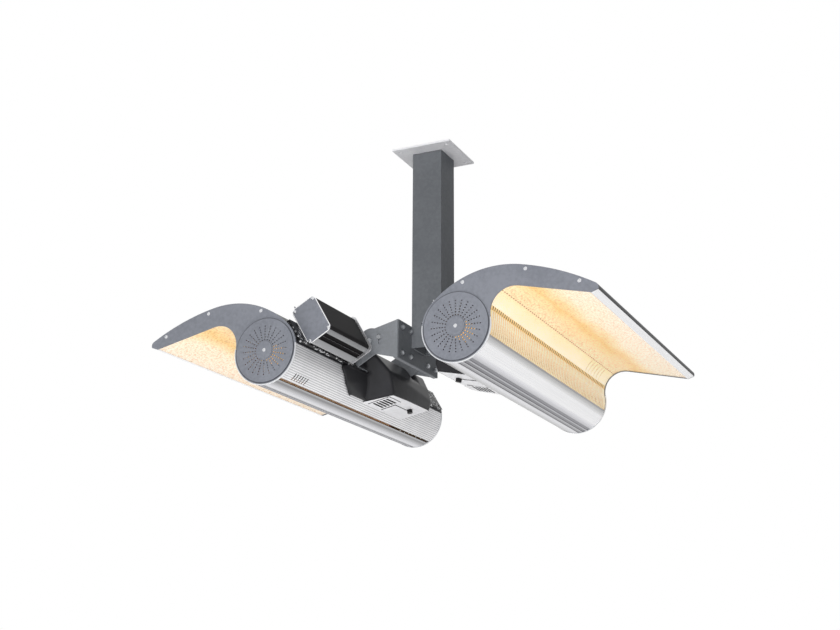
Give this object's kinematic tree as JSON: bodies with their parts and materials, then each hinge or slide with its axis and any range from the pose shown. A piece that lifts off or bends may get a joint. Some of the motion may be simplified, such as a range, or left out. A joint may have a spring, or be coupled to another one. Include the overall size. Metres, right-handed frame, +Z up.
{
  "type": "infrared ceiling heater",
  "caption": "Radiant heater hung from a ceiling on a square drop tube: tilting winged drum heads with slotted screens, warm reflectors, control boxes and blower hoods.",
  "frame": {"origin": "centre of the ceiling plate's top face, where it meets the ceiling", "axes": "+Z up; the drums run along Y; the right head opens toward +X and the left head toward -X"},
  "size_m": [1.3868, 1.0164, 0.8474],
  "materials": {
    "pale_plate": "satin",
    "tube_paint": "satin",
    "bracket_paint": "satin",
    "zinc_bolts": "zinc plated",
    "slate_paint": "satin",
    "bright_screws": "polished",
    "bright_trim": "polished",
    "polished_shell": "polished",
    "perforated_sheet": "fine perforation",
    "warm_reflector": "bright, lit warm by the burner",
    "dark_skin": "satin",
    "heat_shield": "heat tinted",
    "electrode_ceramic": "glazed",
    "black_rail": "satin",
    "black_housing": "satin",
    "bright_sheet": "bright",
    "black_cowl": "soft gloss",
    "pale_base": "satin",
    "black_knob": "gloss",
    "blower_wheel": "plain",
    "motor_case": "plain",
    "valve_brass": "plain",
    "hot_screen": "slotted, lit warm by the burner",
    "glowing_burner": "glowing"
  },
  "bodies": {
    "hanger": {"ceiling_plate": "pale_plate", "drop_tube": "tube_paint", "left_arm_bracket": "bracket_paint", "right_arm_bracket": "bracket_paint", "bracket_bolts": "zinc_bolts"},
    "right_head": {"right_box_end_plate": "slate_paint", "right_hood_end_plate": "slate_paint", "right_box_end_cap": "slate_paint", "right_hood_end_cap": "slate_paint", "right_end_rings": "bright_trim", "right_head_screws": "bright_screws", "right_lower_shell": "polished_shell", "right_back_mesh": "perforated_sheet", "right_radiant_screen": "hot_screen", "right_reflector": "warm_reflector", "right_top_cover": "dark_skin", "right_tip_trim": "bright_trim", "right_burner_tube": "glowing_burner", "right_inner_shield": "heat_shield", "right_igniter": "electrode_ceramic", "right_back_rail": "black_rail", "right_tilt_bracket": "bracket_paint", "right_tilt_bolts": "zinc_bolts", "right_control_box": "black_housing", "right_box_cover": "slate_paint", "right_box_flange": "bright_sheet", "right_hood": "black_cowl", "right_hood_base": "pale_base", "right_fan_motor": "motor_case", "right_gas_valve": "valve_brass"},
    "right_fan": {"right_fan_wheel": "blower_wheel"},
    "right_knob": {"right_latch_knob": "black_knob"},
    "left_head": {"left_box_end_plate": "slate_paint", "left_hood_end_plate": "slate_paint", "left_box_end_cap": "slate_paint", "left_hood_end_cap": "slate_paint", "left_end_rings": "bright_trim", "left_head_screws": "bright_screws", "left_lower_shell": "polished_shell", "left_back_mesh": "perforated_sheet", "left_radiant_screen": "hot_screen", "left_reflector": "warm_reflector", "left_top_cover": "dark_skin", "left_tip_trim": "bright_trim", "left_burner_tube": "glowing_burner", "left_inner_shield": "heat_shield", "left_igniter": "electrode_ceramic", "left_back_rail": "black_rail", "left_tilt_bracket": "bracket_paint", "left_tilt_bolts": "zinc_bolts", "left_control_box": "black_housing", "left_box_cover": "slate_paint", "left_box_flange": "bright_sheet", "left_hood": "black_cowl", "left_hood_base": "pale_base", "left_fan_motor": "motor_case", "left_gas_valve": "valve_brass"},
    "left_fan": {"left_fan_wheel": "blower_wheel"},
    "left_knob": {"left_latch_knob": "black_knob"}
  },
  "joints": [
    {"name": "right_tilt", "type": "hinge", "parent": "hanger", "child": "right_head", "pos_m": [0.147, 0, -0.646], "axis": [0, 1, 0], "range_deg": [-30, 10]},
    {"name": "right_fan_spin", "type": "hinge", "parent": "right_head", "child": "right_fan", "pos_m": [0.15049, 0, -0.79507], "axis": [0.2064, 0, 0.9785], "continuous": true},
    {"name": "right_knob_turn", "type": "hinge", "parent": "right_head", "child": "right_knob", "pos_m": [0.15636, -0.158, -0.79631], "axis": [0.2064, 0, 0.9785], "range_deg": [0, 90]},
    {"name": "left_tilt", "type": "hinge", "parent": "hanger", "child": "left_head", "pos_m": [-0.147, 0, -0.646], "axis": [0, -1, 0], "range_deg": [-30, 10]},
    {"name": "left_fan_spin", "type": "hinge", "parent": "left_head", "child": "left_fan", "pos_m": [-0.15049, 0, -0.79507], "axis": [-0.2064, 0, 0.9785], "continuous": true},
    {"name": "left_knob_turn", "type": "hinge", "parent": "left_head", "child": "left_knob", "pos_m": [-0.15636, 0.158, -0.79631], "axis": [-0.2064, 0, 0.9785], "range_deg": [0, 90]}
  ]
}
